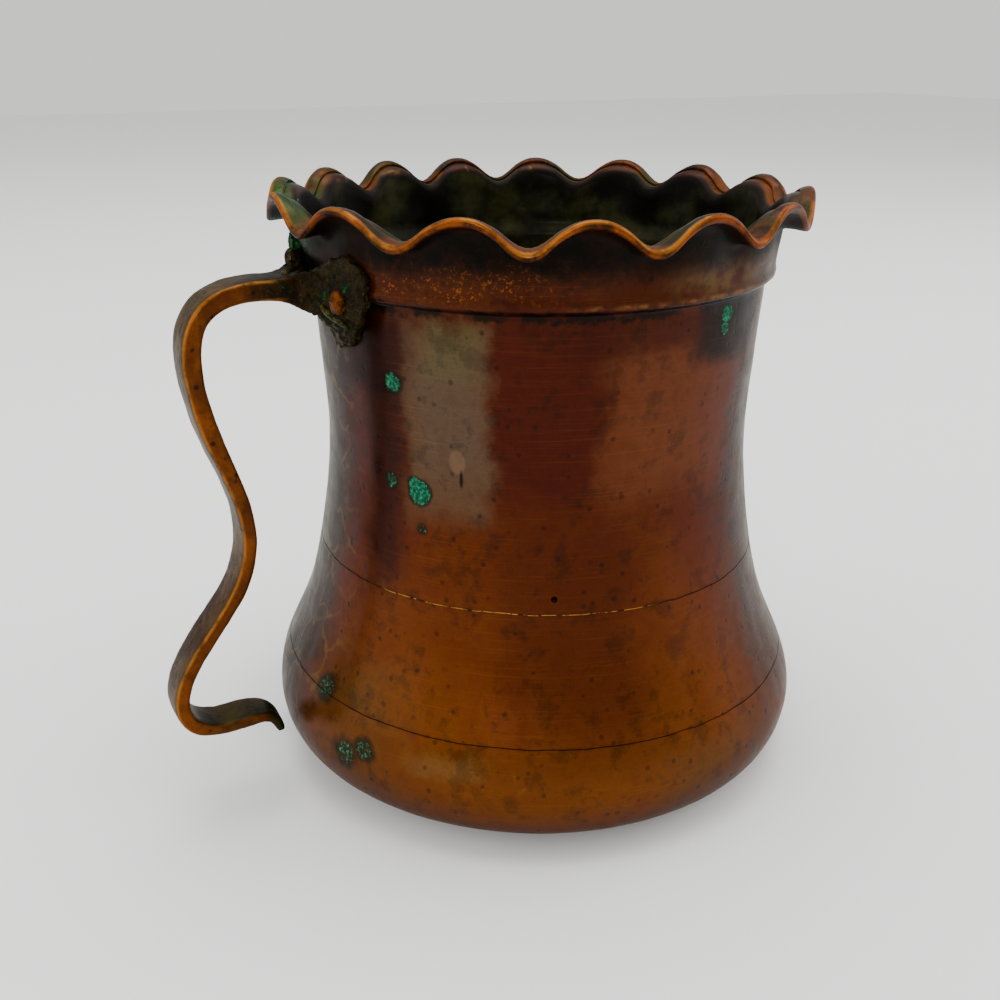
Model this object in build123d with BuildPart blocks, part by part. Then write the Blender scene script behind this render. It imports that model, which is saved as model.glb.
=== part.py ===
"""Copper mug: a waisted body raised from sheet, with a waved flange and a riveted strap handle.

The body is three sheet shells, brazed end to end: a dished pan, a belly band and an upper body.
The handle is one forged strap whose root is split into two wings, riveted and soldered to the neck.
The origin is the centre of the resting face, +Z is up, and the handle points along -X.
"""
import os
from math import atan2, cos, degrees, hypot, pi

from build123d import *

os.makedirs("parts", exist_ok=True)

# ---------------------------------------------------------------- driving dimensions, mm
height = 148.4  # resting face to the highest crest of the flange
sheet = 1.2  # copper sheet of the three shells

# body, outside, from the foot up: radius and height
foot_radius = 48.0
heel_start = (55.0, 1.5)
heel = (66.2, 7.0)
belly = (70.1, 15.5)
shoulder = (62.8, 39.0)
flank = (56.1, 62.5)
waist = (53.3, 90.0)
neck_foot = (55.4, 127.0)

# joggle and flared collar that carry the flange
collar = (57.9, 130.0)
collar_mid = (59.0, 137.0)
collar_top = (59.0, 139.5)
flange_root_radius = 58.4

# seams: the brazed lines lean a little, because the shells were cut by hand
waist_seam_height = 59.0
base_seam_height = 29.8
seam_width = 0.8
seam_lean = (0.009, -0.005, 1.0)

# flange: a waved rim, its edge folded back on top as a hem
flange_radius = 65.8
hem_inner_radius = 61.8
hem = 1.0
wave_rise = 2.8
wave_steepness = 3
wave_steps = 50
wave_tolerance = 0.02
wave_margin = 6.0
crest_angles = (-6, 17, 39, 62, 83, 103, 124, 147, 175, 201, 228, 251, 275, 299, 327)

# handle strap: distance out from the axis, height and thickness along its middle line
strap_width = 11.0
strap_edge_radius = 0.9
strap_stations = (
    (57.0, 127.8, 4.8),
    (68.0, 128.2, 4.8),
    (79.0, 127.8, 4.6),
    (86.9, 123.6, 4.5),
    (89.9, 115.5, 4.5),
    (87.0, 99.6, 4.3),
    (81.7, 84.0, 3.8),
    (79.1, 71.0, 3.4),
    (82.0, 59.4, 3.3),
    (92.0, 46.0, 3.3),
    (98.8, 34.5, 3.5),
    (97.6, 24.9, 3.5),
    (90.0, 21.4, 3.0),
    (80.4, 21.4, 2.8),
    (76.0, 19.6, 2.6),
    (74.4, 16.4, 2.2),
)

# wings of the handle root, seen from the handle side: distance across from the strap, height
wing_inner_radius = 58.1
wing_outer_radius = 60.7
wing_corner_radius = 0.9
wing_root = ((-2.0, 124.0), (-2.0, 130.5))
front_wing = ((5.5, 130.5), (11.5, 136.0), (17.5, 134.0), (19.0, 128.5), (11.5, 116.5), (5.0, 122.0))
back_wing = ((5.5, 130.5), (14.0, 137.0), (24.0, 136.5), (21.5, 127.5), (12.0, 125.3), (5.0, 124.5))
wing_blank = 20.0
solder_margin = 1.5
solder_blank = 15.0

# rivets through the wings, and a pinhole beside the waist seam
rivet_shank = 3.0
rivet_head = 5.6
rivet_seat_radius = 60.4
rivet_head_rise = 1.8
rivet_head_edge = 1.4
rivet_inner_rise = 2.4
# turn from the handle's middle, height, and how far from the axis the inner head starts
rivet_places = {
    "rivet_front": (8.0, 126.0, 52.9),
    "rivet_back": (-13.5, 131.5, 54.4),
}
pinhole = 1.5
pinhole_angle = 246.0
pinhole_height = 62.6
drill_length = 80.0


def wave_phase(angle):
    """Phase of the flange wave, zero on each crest, at an angle in degrees about the axis."""
    turned = (angle - crest_angles[0]) % 360 + crest_angles[0]
    crests = crest_angles + (crest_angles[0] + 360,)
    for low, high in zip(crests, crests[1:]):
        if low <= turned <= high:
            return 2 * pi * (turned - low) / (high - low)
    return 0.0


def wave_face(base):
    """Waved sheet over the whole flange, whose crests at the edge stand wave_rise above base."""
    half_side = flange_radius + wave_margin
    rows = []
    for i in range(wave_steps + 1):
        row = []
        for j in range(wave_steps + 1):
            x = half_side * (2 * i / wave_steps - 1)
            y = half_side * (2 * j / wave_steps - 1)
            rise = wave_rise * (hypot(x, y) / flange_radius) ** wave_steepness
            row.append(Vector(x, y, base + rise * cos(wave_phase(degrees(atan2(y, x))))))
        rows.append(row)
    return Face.make_surface_from_array_of_points(rows, tol=wave_tolerance)


flange_under = height - hem - sheet - wave_rise
flange_blank = Plane.XY.offset(collar_top[1] - wave_margin)
under_face = wave_face(flange_under)
sheet_face = wave_face(flange_under + sheet)
hem_face = wave_face(flange_under + sheet + hem)
collar_face = wave_face(flange_under + sheet / 2)
waist_seam = Plane((0, 0, waist_seam_height), z_dir=seam_lean)
base_seam = Plane((0, 0, base_seam_height), z_dir=seam_lean)

# ---------------------------------------------------------------- section of the wall
wall_stations = [(foot_radius, 0), heel_start, heel, belly, shoulder, flank, waist, neck_foot]
with BuildSketch(Plane.XZ) as wall_section:
    with BuildLine():
        outer_wall = Spline(*wall_stations, tangents=((1, 0.1), (0.12, 1)))
        inner_stations = []
        for station in wall_stations:
            along = outer_wall.tangent_at(Vector(*station))
            inner_stations.append(Vector(*station) + Vector(-along.Y, along.X) * sheet)
        inner_wall = Spline(*inner_stations, tangents=(outer_wall % 0, outer_wall % 1))
        Polyline(outer_wall @ 0, (0, 0), (0, sheet), inner_wall @ 0)
        Polyline(
            outer_wall @ 1,
            collar,
            collar_mid,
            collar_top,
            (collar_top[0] - sheet, collar_top[1]),
            (collar_mid[0] - sheet, collar_mid[1]),
            (collar[0] - sheet, collar[1] + sheet / 2),
            inner_wall @ 1,
        )
    make_face()

# ---------------------------------------------------------------- pan: floor and heel, up to the lower seam
with BuildPart() as base_pan:
    revolve(wall_section.sketch, axis=Axis.Z)
    split(bisect_by=base_seam.offset(-seam_width / 2), keep=Keep.BOTTOM)

# ---------------------------------------------------------------- belly band, between the two seams
with BuildPart() as belly_band:
    revolve(wall_section.sketch, axis=Axis.Z)
    split(bisect_by=base_seam.offset(seam_width / 2), keep=Keep.TOP)
    split(bisect_by=waist_seam.offset(-seam_width / 2), keep=Keep.BOTTOM)

# ---------------------------------------------------------------- brazing metal that fills the two seams
with BuildPart() as base_seam_braze:
    revolve(wall_section.sketch, axis=Axis.Z)
    split(bisect_by=base_seam.offset(-seam_width / 2), keep=Keep.TOP)
    split(bisect_by=base_seam.offset(seam_width / 2), keep=Keep.BOTTOM)

with BuildPart() as waist_seam_braze:
    revolve(wall_section.sketch, axis=Axis.Z)
    split(bisect_by=waist_seam.offset(-seam_width / 2), keep=Keep.TOP)
    split(bisect_by=waist_seam.offset(seam_width / 2), keep=Keep.BOTTOM)

# ---------------------------------------------------------------- flange: waved sheet with its folded hem
with BuildPart() as flange:
    with BuildSketch(flange_blank):
        Circle(flange_radius)
        Circle(flange_root_radius, mode=Mode.SUBTRACT)
    extrude(amount=height)
    split(bisect_by=under_face, keep=Keep.TOP)
    split(bisect_by=sheet_face, keep=Keep.BOTTOM)

with BuildPart() as flange_hem:
    with BuildSketch(flange_blank):
        Circle(flange_radius)
        Circle(hem_inner_radius, mode=Mode.SUBTRACT)
    extrude(amount=height)
    split(bisect_by=sheet_face, keep=Keep.TOP)
    split(bisect_by=hem_face, keep=Keep.BOTTOM)

# ---------------------------------------------------------------- lip: top of the collar, along the wave
with BuildPart() as lip:
    with BuildSketch(Plane.XY.offset(collar_top[1])):
        Circle(collar_top[0])
        Circle(collar_top[0] - sheet, mode=Mode.SUBTRACT)
    extrude(amount=height)
    split(bisect_by=collar_face, keep=Keep.BOTTOM)

# ---------------------------------------------------------------- places of the rivets, wings and pinhole
handle_side = Plane((0, 0, 0), x_dir=(0, -1, 0), z_dir=(-1, 0, 0))
rivet_planes = {
    name: Plane((0, 0, rise), z_dir=Vector(-1, 0, 0).rotate(Axis.Z, swing))
    for name, (swing, rise, inner_radius) in rivet_places.items()
}
pinhole_plane = Plane((0, 0, pinhole_height), z_dir=Vector(1, 0, 0).rotate(Axis.Z, pinhole_angle))
outward = (Align.CENTER, Align.CENTER, Align.MIN)

# ---------------------------------------------------------------- upper body: neck, collar and flange
with BuildPart() as upper_body:
    revolve(wall_section.sketch, axis=Axis.Z)
    split(bisect_by=waist_seam.offset(seam_width / 2), keep=Keep.TOP)
    add(lip.part)
    add(flange.part)
    add(flange_hem.part)
    with Locations(pinhole_plane):
        Cylinder(pinhole / 2, drill_length, align=outward, mode=Mode.SUBTRACT)
    with Locations(*rivet_planes.values()):
        Cylinder(rivet_shank / 2, drill_length, align=outward, mode=Mode.SUBTRACT)

# ---------------------------------------------------------------- handle: strap and wings, forged in one
with BuildPart() as wing_front:
    with BuildSketch(handle_side.offset(wing_outer_radius - wing_blank)) as front_outline:
        with BuildLine():
            Polyline(*wing_root, *front_wing, close=True)
        make_face()
        fillet(front_outline.vertices(), wing_corner_radius)
    extrude(amount=wing_blank)
    Cylinder(wing_outer_radius, 2 * height, mode=Mode.INTERSECT)
    Cylinder(wing_inner_radius, 2 * height, mode=Mode.SUBTRACT)

with BuildPart() as wing_back:
    with BuildSketch(handle_side.offset(wing_outer_radius - wing_blank)) as back_outline:
        with BuildLine():
            Polyline(*[(-across, rise) for across, rise in (*wing_root, *back_wing)], close=True)
        make_face()
        fillet(back_outline.vertices(), wing_corner_radius)
    extrude(amount=wing_blank)
    Cylinder(wing_outer_radius, 2 * height, mode=Mode.INTERSECT)
    Cylinder(wing_inner_radius, 2 * height, mode=Mode.SUBTRACT)

with BuildPart() as handle:
    with BuildSketch(Plane.XZ) as strap_section:
        with BuildLine(mode=Mode.PRIVATE):
            strap_line = Spline(*[(-out, rise) for out, rise, thick in strap_stations])
        upper_points = []
        lower_points = []
        for out, rise, thick in strap_stations:
            point = Vector(-out, rise)
            along = strap_line.tangent_at(point)
            across = Vector(-along.Y, along.X) * thick / 2
            upper_points.append(point + across)
            lower_points.append(point - across)
        with BuildLine():
            upper = Spline(*upper_points)
            lower = Spline(*lower_points)
            Line(upper @ 0, lower @ 0)
            Line(upper @ 1, lower @ 1)
        make_face()
    extrude(amount=strap_width / 2, both=True)
    fillet(handle.faces().filter_by(Axis.Y).edges(), strap_edge_radius)
    Cylinder(wing_inner_radius, 2 * height, mode=Mode.SUBTRACT)
    add(wing_front.part)
    add(wing_back.part)
    add(upper_body.part, mode=Mode.SUBTRACT)
    with Locations(*rivet_planes.values()):
        Cylinder(rivet_shank / 2, drill_length, align=outward, mode=Mode.SUBTRACT)

# ---------------------------------------------------------------- rivets: domed outside, upset flat inside
rivets = {}
for name, plane in rivet_planes.items():
    inner_radius = rivet_places[name][2]
    shank_length = rivet_seat_radius + rivet_head_rise / 2 - inner_radius
    with BuildPart() as rivet:
        with Locations(plane.offset(rivet_seat_radius)):
            Cylinder(rivet_head / 2, rivet_head_rise, align=outward)
        fillet(rivet.edges().filter_by(GeomType.CIRCLE).sort_by(SortBy.DISTANCE)[-1], rivet_head_edge)
        with Locations(plane.offset(inner_radius)):
            Cylinder(rivet_head / 2, rivet_inner_rise, align=outward)
        add(upper_body.part, mode=Mode.SUBTRACT)
        add(handle.part, mode=Mode.SUBTRACT)
        with Locations(plane.offset(inner_radius)):
            Cylinder(rivet_shank / 2, shank_length, align=outward)
    rivets[name] = rivet

# ---------------------------------------------------------------- solder: fills the gap behind each wing
with BuildPart() as wall_core:
    with BuildSketch(Plane.XZ):
        with BuildLine():
            Polyline(
                (0, flank[1]),
                (waist[0] - sheet / 2, flank[1]),
                (waist[0] - sheet / 2, waist[1]),
                (neck_foot[0] - sheet / 2, neck_foot[1]),
                (collar[0] - sheet / 2, collar[1]),
                (collar_mid[0] - sheet / 2, collar_mid[1]),
                (collar_mid[0] - sheet / 2, height),
                (0, height),
                close=True,
            )
        make_face()
    revolve(axis=Axis.Z)

solders = {}
solder_sides = (
    ("wing_solder_front", front_outline, Keep.TOP),
    ("wing_solder_back", back_outline, Keep.BOTTOM),
)
for name, outline, side in solder_sides:
    with BuildPart() as solder:
        with BuildSketch(handle_side.offset(wing_inner_radius - solder_blank)):
            add(outline.sketch_local)
            offset(amount=solder_margin)
        extrude(amount=solder_blank)
        Cylinder(wing_inner_radius, 2 * height, mode=Mode.INTERSECT)
        add(wall_core.part, mode=Mode.SUBTRACT)
        add(upper_body.part, mode=Mode.SUBTRACT)
        add(handle.part, mode=Mode.SUBTRACT)
        for rivet in rivets.values():
            add(rivet.part, mode=Mode.SUBTRACT)
        split(bisect_by=Plane.XZ, keep=side)
    solders[name] = solder

# ---------------------------------------------------------------- labels and files
nodes = {
    "base_pan": base_pan,
    "belly_band": belly_band,
    "upper_body": upper_body,
    "base_seam_braze": base_seam_braze,
    "waist_seam_braze": waist_seam_braze,
    "handle": handle,
    **rivets,
    **solders,
}
for name, node in nodes.items():
    node.part.label = name
    export_step(node.part, f"parts/{name}.step")
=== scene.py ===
"""Copper mug: three brazed shells, a waved flange with a folded hem, and a forged strap handle.

Laid out as an add-on and run as a script. Lengths in the tables are millimetres, in the frame's axes:
+Z is up through the mouth and the handle points along -X.
"""

from math import atan2, cos, degrees, hypot, pi, radians, sin

import bpy
import numpy as np
from bpy.props import FloatProperty, FloatVectorProperty, IntProperty, PointerProperty
from mathutils import Matrix, Vector, noise


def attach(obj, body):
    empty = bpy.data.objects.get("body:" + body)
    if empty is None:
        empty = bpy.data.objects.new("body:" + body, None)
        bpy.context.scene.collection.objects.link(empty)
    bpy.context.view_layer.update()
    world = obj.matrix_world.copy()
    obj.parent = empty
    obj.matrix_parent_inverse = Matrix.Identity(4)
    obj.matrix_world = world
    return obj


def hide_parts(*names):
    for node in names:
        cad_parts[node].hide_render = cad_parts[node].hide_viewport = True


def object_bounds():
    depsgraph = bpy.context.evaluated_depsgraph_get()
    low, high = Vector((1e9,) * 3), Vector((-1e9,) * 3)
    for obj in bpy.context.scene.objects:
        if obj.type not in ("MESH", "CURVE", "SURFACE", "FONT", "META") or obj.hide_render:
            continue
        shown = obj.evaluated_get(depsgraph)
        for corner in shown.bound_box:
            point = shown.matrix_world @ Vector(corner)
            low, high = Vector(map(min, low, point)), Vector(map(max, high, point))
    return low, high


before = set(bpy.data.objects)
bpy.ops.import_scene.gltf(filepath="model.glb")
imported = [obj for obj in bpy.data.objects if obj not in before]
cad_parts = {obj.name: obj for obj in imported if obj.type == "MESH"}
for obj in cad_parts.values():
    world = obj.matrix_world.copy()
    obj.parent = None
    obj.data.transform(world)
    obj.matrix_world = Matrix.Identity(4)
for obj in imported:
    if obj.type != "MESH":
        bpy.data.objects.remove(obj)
cad_low, cad_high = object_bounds()

bl_info = {
    "name": "Copper mug",
    "version": (1, 0, 0),
    "blender": (4, 5, 0),
    "location": "View3D > Sidebar > Copper mug",
    "description": "Builds a waisted copper mug with a waved flange and a riveted strap handle",
    "category": "Object",
}

MM = 0.001
FRONT_TURN = radians(117)  # turns the front of the mug, left of the handle, onto +X
SEAM_LEAN = (0.009, -0.005)
WAIST_SEAM = 59.0
BASE_SEAM = 29.8
FLANGE_RADIUS = 65.8
PINHOLE = (2.9, 62.6)  # angle about the front, height
PINHOLE_RADIUS = 0.75
CREST_ANGLES = (-6, 17, 39, 62, 83, 103, 124, 147, 175, 201, 228, 251, 275, 299, 327)
CREST_SIZES = (0.90, 0.96, 0.93, 0.88, 0.95, 1.0, 0.97, 1.0, 0.98, 0.95, 1.0, 0.97, 1.0, 0.94, 0.97)
CREST_WIDTH = 2.4  # higher numbers make broader crests and tighter valleys
VALLEY_DEPTH = 1.4  # depth of a valley for each height of crest

# outside of the wall from the foot to the neck: radius, height
WALL = (
    (30.0, 0.0), (40.0, 0.0), (48.0, 0.0), (55.2, 1.5), (66.5, 7.0), (70.0, 15.5),
    (62.6, 39.0), (56.3, 62.5), (53.5, 90.0), (54.4, 108.0), (55.7, 126.6),
)
# joggle, collar and flange, up the outside, round the hem and down the inside: radius, height
RIM = (
    (55.9, 127.0), (56.4, 127.3), (57.3, 127.7), (57.9, 128.3), (58.1, 129.1), (57.9, 130.2), (57.9, 131.5),
    (58.1, 133.5), (58.5, 136.5), (58.8, 139.5), (59.1, 141.3), (59.7, 142.6), (60.9, 143.3), (62.5, 143.45),
    (64.5, 143.45), (65.25, 143.6), (65.7, 144.05), (65.8, 144.55), (65.65, 145.05), (65.2, 145.45),
    (64.5, 145.6), (63.2, 145.58), (62.3, 145.45), (61.85, 145.2), (61.8, 144.9), (61.95, 144.62),
    (61.6, 144.55), (60.4, 144.5), (59.3, 144.2), (58.3, 143.4), (57.75, 142.1), (57.6, 139.5),
    (57.3, 136.5), (56.9, 133.5), (56.7, 131.5), (56.6, 130.2), (56.1, 129.1), (55.2, 128.3), (54.6, 127.2),
)

# strap of the handle along its middle line: distance out from the axis, height, thickness
STRAP = (
    (59.2, 128.2, 5.2), (67.0, 128.4, 4.8), (74.0, 128.5, 4.7), (79.6, 127.6, 4.6), (84.0, 125.4, 4.5),
    (87.0, 121.6, 4.4), (88.4, 115.5, 4.5), (88.0, 107.5, 4.4), (86.1, 98.5, 4.3), (83.2, 89.5, 4.0),
    (80.3, 80.5, 3.7), (79.0, 71.0, 3.5), (81.4, 59.6, 3.4), (86.6, 51.5, 3.3), (92.6, 43.6, 3.4),
    (97.2, 36.0, 3.5), (98.6, 29.5, 3.6), (96.6, 24.4, 3.6), (92.0, 22.0, 3.2), (86.5, 21.6, 3.0),
    (80.6, 21.8, 2.9), (77.0, 20.7, 2.8), (75.2, 18.4, 2.5), (74.4, 16.2, 1.9),
)
STRAP_WIDTH = 11.0
STRAP_SQUARE = 0.34  # how square the strap's section is: 1 is an ellipse, 0 a box
WING_FULL = 5.0  # thickness that a wing has at most

# wings of the handle root, from the strap to the tip: x, y, lowest, highest, thickness
FRONT_WING = (
    (-74.0, -2.0, 126.1, 130.7, 4.8), (-67.0, -2.4, 125.6, 131.0, 4.8), (-62.2, -4.0, 123.6, 131.8, 3.8),
    (-59.9, -7.4, 122.4, 133.0, 2.7), (-58.6, -10.6, 121.2, 134.4, 2.4), (-57.7, -13.8, 119.4, 135.6, 2.4),
    (-56.8, -16.8, 117.6, 136.5, 2.4), (-56.2, -18.4, 117.2, 136.7, 2.3), (-55.5, -20.4, 120.4, 136.0, 2.2),
    (-54.8, -22.4, 124.6, 134.6, 2.0), (-54.4, -23.4, 127.2, 132.0, 1.6),
)
BACK_WING = (
    (-74.0, 2.0, 126.1, 130.7, 4.8), (-67.0, 2.4, 125.9, 130.9, 4.8), (-62.0, 4.6, 125.6, 132.0, 3.8),
    (-59.6, 8.0, 125.2, 134.2, 2.8), (-58.4, 11.0, 125.2, 136.0, 2.4), (-57.6, 14.2, 125.6, 136.9, 2.3),
    (-56.7, 17.4, 126.2, 136.9, 2.3), (-55.7, 20.4, 127.2, 136.8, 2.1), (-54.8, 22.6, 130.0, 136.4, 1.9),
    (-54.4, 23.6, 132.0, 135.6, 1.6),
)
# rivets: CAD node, turn from the handle's middle, height
RIVETS = {"rivet_front_head": ("rivet_front", 15.5, 126.8), "rivet_back_head": ("rivet_back", -13.5, 131.5)}
# rivet section from its outer crown to its inner crown: radius, distance from the mug's axis
RIVET = (
    (0.0, 62.15), (1.2, 62.05), (2.1, 61.7), (2.65, 61.2), (2.8, 60.7), (2.75, 60.1), (1.6, 60.0),
    (1.5, 58.0), (1.5, 55.3), (2.7, 55.3), (2.75, 54.3), (2.4, 53.5), (1.3, 53.05), (0.0, 52.95),
)
# ridge of solder run along the front wing, under its rivet: x, y, z, radius
SOLDER_RIDGE = (
    (-60.4, -7.8, 126.4, 0.45), (-60.1, -9.8, 125.2, 0.6), (-59.6, -12.4, 124.0, 0.7),
    (-58.9, -15.2, 123.0, 0.75), (-58.0, -17.8, 122.2, 0.7), (-57.4, -19.4, 121.9, 0.45),
)
SOLDER_DROPS = ((-64.8, -0.5, 131.0, 1.4), (-56.4, -20.6, 121.4, 0.6), (-60.0, -6.4, 131.6, 0.9))


# ------------------------------------------------------------------------------------- settings
class MugSizes(bpy.types.PropertyGroup):
    """Sizes of the looks that the frame leaves open."""

    sheet: FloatProperty(name="Sheet", description="Thickness of the copper sheet", default=1.2 * MM, unit="LENGTH")
    steps: IntProperty(name="Steps", description="Steps of each shell round the axis", default=300, min=60)
    spacing: FloatProperty(
        name="Spacing", description="Distance between rings of the mesh", default=1.4 * MM, unit="LENGTH"
    )
    wave_rise: FloatProperty(
        name="Wave rise", description="Height of the flange's crests over its middle", default=2.8 * MM, unit="LENGTH"
    )
    flute: FloatProperty(
        name="Flute", description="How far the collar follows the wave in and out", default=0.8 * MM, unit="LENGTH"
    )
    dent: FloatProperty(name="Dents", description="Depth of the hammered dents", default=0.13 * MM, unit="LENGTH")
    seam_gap: FloatProperty(
        name="Seam gap", description="Width of a brazed seam between two shells", default=0.24 * MM, unit="LENGTH"
    )
    handle_voxel: FloatProperty(
        name="Handle voxel", description="Cell of the remesh that joins the handle", default=0.42 * MM, unit="LENGTH"
    )
    solder_voxel: FloatProperty(
        name="Solder voxel", description="Cell of the remesh of the solder", default=0.4 * MM, unit="LENGTH"
    )


def srgb(code):
    """Linear colour of a six-digit hex colour."""
    parts = [int(code[i:i + 2], 16) / 255 for i in (0, 2, 4)]
    return tuple(p / 12.92 if p <= 0.04045 else ((p + 0.055) / 1.055) ** 2.4 for p in parts)


def colour_property(title, words, code):
    return FloatVectorProperty(
        name=title, description=words, default=srgb(code), subtype="COLOR", size=3, min=0.0, max=1.0
    )


class MugFinish(bpy.types.PropertyGroup):
    """Colours of the finishes."""

    copper: colour_property("Copper", "Old polished copper", "6a3c1c")
    red_copper: colour_property("Red copper", "Reddest oxide on the copper", "56200c")
    olive: colour_property("Olive", "Yellow green film on the copper", "5e5428")
    # this near-black is soot with painted shade, laid on the collar below the flange
    soot_and_shade: colour_property("Soot", "Black dirt in the corners", "050402")
    verdigris: colour_property("Verdigris", "Bright green copper salts", "4ab6b4")
    brass: colour_property("Brass", "Brazing metal in the seams", "d8b07a")
    worn: colour_property("Worn edge", "Bare copper on rubbed edges", "c08a50")
    strap: colour_property("Strap", "Orange brown of the forged strap", "8c5a2a")
    solder: colour_property("Solder", "Old solder and its green crust", "5c5c3c")
    tin: colour_property("Tin", "Worn tin inside", "424838")


class MugSettings(bpy.types.PropertyGroup):
    """Everything that the panel shows."""

    sizes: PointerProperty(type=MugSizes)
    finish: PointerProperty(type=MugFinish)


def settings():
    return bpy.context.scene.copper_mug


# ------------------------------------------------------------------------------------- mesh helpers
def alone(obj):
    """Makes obj the only selected and the active object."""
    bpy.ops.object.select_all(action="DESELECT")
    obj.select_set(True)
    bpy.context.view_layer.objects.active = obj


def points_of(obj):
    flat = np.empty(len(obj.data.vertices) * 3)
    obj.data.vertices.foreach_get("co", flat)
    return flat.reshape(-1, 3)


def set_points(obj, points):
    obj.data.vertices.foreach_set("co", np.asarray(points, dtype=np.float32).ravel())
    obj.data.update()


def normals_of(obj):
    flat = np.empty(len(obj.data.vertices) * 3)
    obj.data.vertex_normals.foreach_get("vector", flat)
    return flat.reshape(-1, 3)


def store(obj, name, values):
    """Writes one number per vertex as an attribute that a material can read."""
    layer = obj.data.attributes.new(name=name, type="FLOAT", domain="POINT")
    layer.data.foreach_set("value", np.asarray(values, dtype=np.float32))


def ease(value, low, high):
    """Smooth step from 0 at low to 1 at high."""
    t = np.clip((np.asarray(value, dtype=float) - low) / (high - low), 0.0, 1.0)
    return t * t * (3 - 2 * t)


def smooth_path(stations, count):
    """Natural cubic curve through the stations, as count evenly spaced rows; the first two columns set the pace."""
    points = np.array(stations, dtype=float)
    pace = np.linalg.norm(np.diff(points[:, :3], axis=0), axis=1)
    knots = np.concatenate(([0.0], np.cumsum(pace)))
    size = len(knots)
    system = np.eye(size)
    right = np.zeros_like(points)
    for i in range(1, size - 1):
        system[i, i - 1:i + 2] = pace[i - 1], 2 * (pace[i - 1] + pace[i]), pace[i]
        right[i] = 6 * ((points[i + 1] - points[i]) / pace[i] - (points[i] - points[i - 1]) / pace[i - 1])
    bend = np.linalg.solve(system, right)
    at = np.linspace(0, knots[-1], count)
    span = np.clip(np.searchsorted(knots, at, side="right") - 1, 0, size - 2)
    step = pace[span][:, None]
    before = (knots[span + 1] - at)[:, None]
    after = (at - knots[span])[:, None]
    curve = (bend[span] * before ** 3 + bend[span + 1] * after ** 3) / (6 * step)
    curve += (points[span] / step - bend[span] * step / 6) * before
    curve += (points[span + 1] / step - bend[span + 1] * step / 6) * after
    return curve


def wall_path():
    """Outside and inside of the wall from the foot to the neck, as matching rows of radius and height."""
    sizes = settings().sizes
    rough = smooth_path(WALL, 400)
    length = np.linalg.norm(np.diff(rough, axis=0), axis=1).sum()
    outer = smooth_path(WALL, int(length / (sizes.spacing / MM)) + 1)
    outer[:, 1] = np.maximum(outer[:, 1], 0.0)
    along = np.gradient(outer, axis=0)
    along /= np.linalg.norm(along, axis=1)[:, None]
    inner = outer + np.column_stack((-along[:, 1], along[:, 0])) * (sizes.sheet / MM)
    return outer, inner


def cut_path(path, low=None, high=None):
    """Part of a wall path between two heights, with points exactly on them."""
    radius = np.interp
    rows = []
    if low is not None:
        rows.append((radius(low, path[:, 1], path[:, 0]), low))
    for r, z in path:
        if (low is None or z > low + 0.3) and (high is None or z < high - 0.3):
            rows.append((r, z))
    if high is not None:
        rows.append((radius(high, path[:, 1], path[:, 0]), high))
    return rows


def wall_point(around, height, lift=0.0):
    """Point on the outside of the wall, from its angle about the front and its height, in mm."""
    outer, _ = wall_path()
    radius = float(np.interp(height, outer[:, 1], outer[:, 0])) + lift
    angle = radians(around) - FRONT_TURN
    return Vector((radius * cos(angle), radius * sin(angle), height))


def lathe(name, section, steps, closed=True):
    """Turns a section of (radius, height) rows in mm about the axis, from a circle set on that section."""
    bpy.ops.object.select_all(action="DESELECT")
    bpy.ops.mesh.primitive_circle_add(vertices=len(section), radius=MM)
    piece = bpy.context.object
    piece.name = name
    piece.data.name = name
    set_points(piece, [(r * MM, 0.0, z * MM) for r, z in section])
    if not closed:
        ends = {0, len(section) - 1}
        axis_edge = [e.index for e in piece.data.edges if set(e.vertices) == ends][0]
        bpy.ops.object.mode_set(mode="EDIT")
        bpy.ops.mesh.select_all(action="DESELECT")
        bpy.ops.object.mode_set(mode="OBJECT")
        piece.data.edges[axis_edge].select = True
        bpy.ops.object.mode_set(mode="EDIT")
        bpy.ops.mesh.select_mode(type="EDGE")
        bpy.ops.mesh.delete(type="EDGE")
    else:
        bpy.ops.object.mode_set(mode="EDIT")
    bpy.ops.mesh.select_mode(type="VERT")
    bpy.ops.mesh.select_all(action="SELECT")
    bpy.ops.mesh.spin(steps=steps, angle=2 * pi, center=(0, 0, 0), axis=(0, 0, 1))
    bpy.ops.mesh.select_all(action="SELECT")
    bpy.ops.mesh.remove_doubles(threshold=0.01 * MM)
    bpy.ops.mesh.normals_make_consistent(inside=False)
    bpy.ops.object.mode_set(mode="OBJECT")
    return piece


def face_outward(piece, merge=None):
    """Merges points closer than merge, if given, and turns all faces outward."""
    alone(piece)
    bpy.ops.object.mode_set(mode="EDIT")
    bpy.ops.mesh.select_all(action="SELECT")
    if merge:
        bpy.ops.mesh.remove_doubles(threshold=merge)
    bpy.ops.mesh.normals_make_consistent(inside=False)
    bpy.ops.object.mode_set(mode="OBJECT")


def apply_modifiers(piece):
    alone(piece)
    for modifier in list(piece.modifiers):
        bpy.ops.object.modifier_apply(modifier=modifier.name)


def modify(piece, kind, **values):
    """Adds one modifier with its values and applies it."""
    modifier = piece.modifiers.new(kind.lower(), kind)
    for key, value in values.items():
        setattr(modifier, key, value)
    apply_modifiers(piece)


def shade(piece, angle=40):
    alone(piece)
    bpy.ops.object.shade_smooth_by_angle(angle=radians(angle))


def settle(piece, node, material):
    """Finishes a piece: it rides on the root, stands for its CAD node and takes its finish."""
    piece.data.materials.clear()
    piece.data.materials.append(material)
    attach(piece, "root")
    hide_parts(*([node] if isinstance(node, str) else node))


def rough_at(point, size, seed=0.0):
    """Smooth noise about zero for a point in mm, with lumps of the given size."""
    return noise.noise(Vector((point[0] / size + seed, point[1] / size - seed, point[2] / size + 2 * seed)))


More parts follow.
